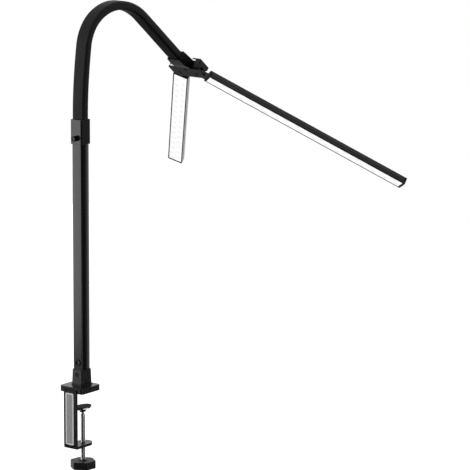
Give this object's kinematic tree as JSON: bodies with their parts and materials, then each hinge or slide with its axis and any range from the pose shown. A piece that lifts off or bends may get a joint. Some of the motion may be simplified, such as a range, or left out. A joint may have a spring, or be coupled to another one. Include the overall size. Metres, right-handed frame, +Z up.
{
  "type": "clamp-on desk lamp",
  "caption": "Clamp-on desk lamp: a square pole and a flat flexible neck carry a hub with slim light bars that fold in its plane.",
  "frame": {"origin": "centre of the pole's axis on the face of the clamp's rubber seat, where it rests on the desk top", "axes": "+Z up along the pole; +X from the pole towards the desk and the light bars; +Y completes the right-handed frame and points to the short-angled bar's side"},
  "size_m": [0.5721, 0.5238, 0.7535],
  "materials": {
    "black_aluminium": "satin black anodised",
    "black_paint": "semi-matte black powder coat",
    "black_plastic": "fine-grained moulded black",
    "silicone": "matte silicone sleeve",
    "rubber": "dull black rubber",
    "chrome": "bright plated",
    "steel": "machined steel",
    "black_oxide": "blackened steel",
    "label_grey": "blank printed film",
    "opal": "opal light diffuser",
    "nylon": "moulded nylon",
    "board_white": "white solder mask"
  },
  "bodies": {
    "stand": {"clamp_seat": "black_paint", "clamp_bracket": "black_paint", "bracket_screw_1": "black_oxide", "bracket_screw_2": "black_oxide", "desk_pad": "rubber", "blank_label": "label_grey", "socket_set_screw": "black_oxide", "thread_insert": "black_oxide", "pole_tube": "black_aluminium", "inlet_body": "black_plastic", "inlet_pin": "steel", "pole_lead": "rubber", "collar": "black_aluminium", "neck_ferrule": "black_plastic", "core_root": "steel"},
    "screw_carrier": {"screw_ball": "steel"},
    "clamp_screw_body": {"clamp_screw": "chrome", "clamp_knob": "black_plastic"},
    "pressure_foot": {"pressure_disc": "chrome", "disc_pad": "rubber"},
    "thumb_tip_body": {"thumb_tip": "nylon"},
    "thumb_screw_body": {"thumb_screw": "black_paint"},
    "neck_1": {"neck_sleeve_1": "silicone", "neck_core_1": "steel"},
    "neck_2": {"neck_sleeve_2": "silicone", "neck_core_2": "steel"},
    "neck_3": {"neck_sleeve_3": "silicone", "neck_core_3": "steel"},
    "neck_4": {"neck_sleeve_4": "silicone", "neck_core_4": "steel"},
    "neck_5": {"neck_sleeve_5": "silicone", "neck_core_5": "steel"},
    "neck_6": {"neck_sleeve_6": "silicone", "neck_core_6": "steel"},
    "neck_7": {"neck_sleeve_7": "silicone", "neck_core_7": "steel", "hub_socket": "black_paint", "hub_shell": "black_paint", "hub_plate": "black_paint", "hub_screw": "black_oxide", "long_bar_pivot_screw": "black_oxide", "long_bar_lower_washer": "steel", "long_bar_spring_washer": "steel", "short_bar_pivot_screw": "black_oxide", "short_bar_lower_washer": "steel", "short_bar_spring_washer": "steel"},
    "long_bar": {"long_bar_arm": "black_aluminium", "long_bar_inner_cap": "black_plastic", "long_bar_channel": "black_aluminium", "long_bar_led_board": "board_white", "long_bar_diffuser": "opal", "long_bar_outer_cap": "black_plastic"},
    "short_bar": {"short_bar_arm": "black_aluminium", "short_bar_inner_cap": "black_plastic", "short_bar_channel": "black_aluminium", "short_bar_led_board": "board_white", "short_bar_diffuser": "opal", "short_bar_outer_cap": "black_plastic"}
  },
  "joints": [
    {"name": "neck_bend_1", "type": "hinge", "parent": "stand", "child": "neck_1", "pos_m": [0, 0, 0.444], "axis": [0, 1, 0], "range_deg": [-12, 8]},
    {"name": "neck_bend_2", "type": "hinge", "parent": "neck_1", "child": "neck_2", "pos_m": [0.00248, 0, 0.50193], "axis": [0, 1, 0], "range_deg": [-12, 8]},
    {"name": "neck_bend_3", "type": "hinge", "parent": "neck_2", "child": "neck_3", "pos_m": [0.0094, 0, 0.5595], "axis": [0, 1, 0], "range_deg": [-12, 8]},
    {"name": "neck_bend_4", "type": "hinge", "parent": "neck_3", "child": "neck_4", "pos_m": [0.04155, 0, 0.60534], "axis": [0, 1, 0], "range_deg": [-12, 8]},
    {"name": "neck_bend_5", "type": "hinge", "parent": "neck_4", "child": "neck_5", "pos_m": [0.09766, 0, 0.61524], "axis": [0, 1, 0], "range_deg": [-12, 8]},
    {"name": "neck_bend_6", "type": "hinge", "parent": "neck_5", "child": "neck_6", "pos_m": [0.15007, 0, 0.59201], "axis": [0, 1, 0], "range_deg": [-12, 8]},
    {"name": "neck_bend_7", "type": "hinge", "parent": "neck_6", "child": "neck_7", "pos_m": [0.19495, 0, 0.55528], "axis": [0, 1, 0], "range_deg": [-12, 8]},
    {"name": "long_bar_fold", "type": "hinge", "parent": "neck_7", "child": "long_bar", "pos_m": [0.27636, -0.017, 0.48817], "axis": [0.6361, 0, 0.7716], "range_deg": [-55.3, 39.7]},
    {"name": "short_bar_fold", "type": "hinge", "parent": "neck_7", "child": "short_bar", "pos_m": [0.27636, 0.017, 0.48817], "axis": [0.6361, 0, 0.7716], "range_deg": [-33.5, 61.5]},
    {"name": "clamp_screw_travel", "type": "slide", "parent": "stand", "child": "screw_carrier", "axis": [0, 0, 1], "range_m": [-0.045, 0.0238]},
    {"name": "clamp_screw_turn", "type": "hinge", "parent": "screw_carrier", "child": "clamp_screw_body", "pos_m": [0.002, 0, -0.11], "axis": [0, 0, 1], "range_deg": [-12960.5, 6855]},
    {"name": "foot_tilt", "type": "hinge", "parent": "screw_carrier", "child": "pressure_foot", "pos_m": [0.002, 0, -0.0334], "axis": [0.7891, 0.6143, 0], "range_deg": [0, 17]},
    {"name": "thumb_screw_travel", "type": "slide", "parent": "stand", "child": "thumb_tip_body", "axis": [1, 0, 0], "range_m": [-0.0024, 0]},
    {"name": "thumb_screw_turn", "type": "hinge", "parent": "thumb_tip_body", "child": "thumb_screw_body", "pos_m": [-0.0114, 0, 0.413], "axis": [1, 0, 0], "range_deg": [-1080.5, 0.5]}
  ],
  "couplings": [
    {"joint": "clamp_screw_turn", "follows": "clamp_screw_travel", "rad_per_m": 5026.5},
    {"joint": "thumb_screw_turn", "follows": "thumb_screw_travel", "rad_per_m": 7854}
  ]
}
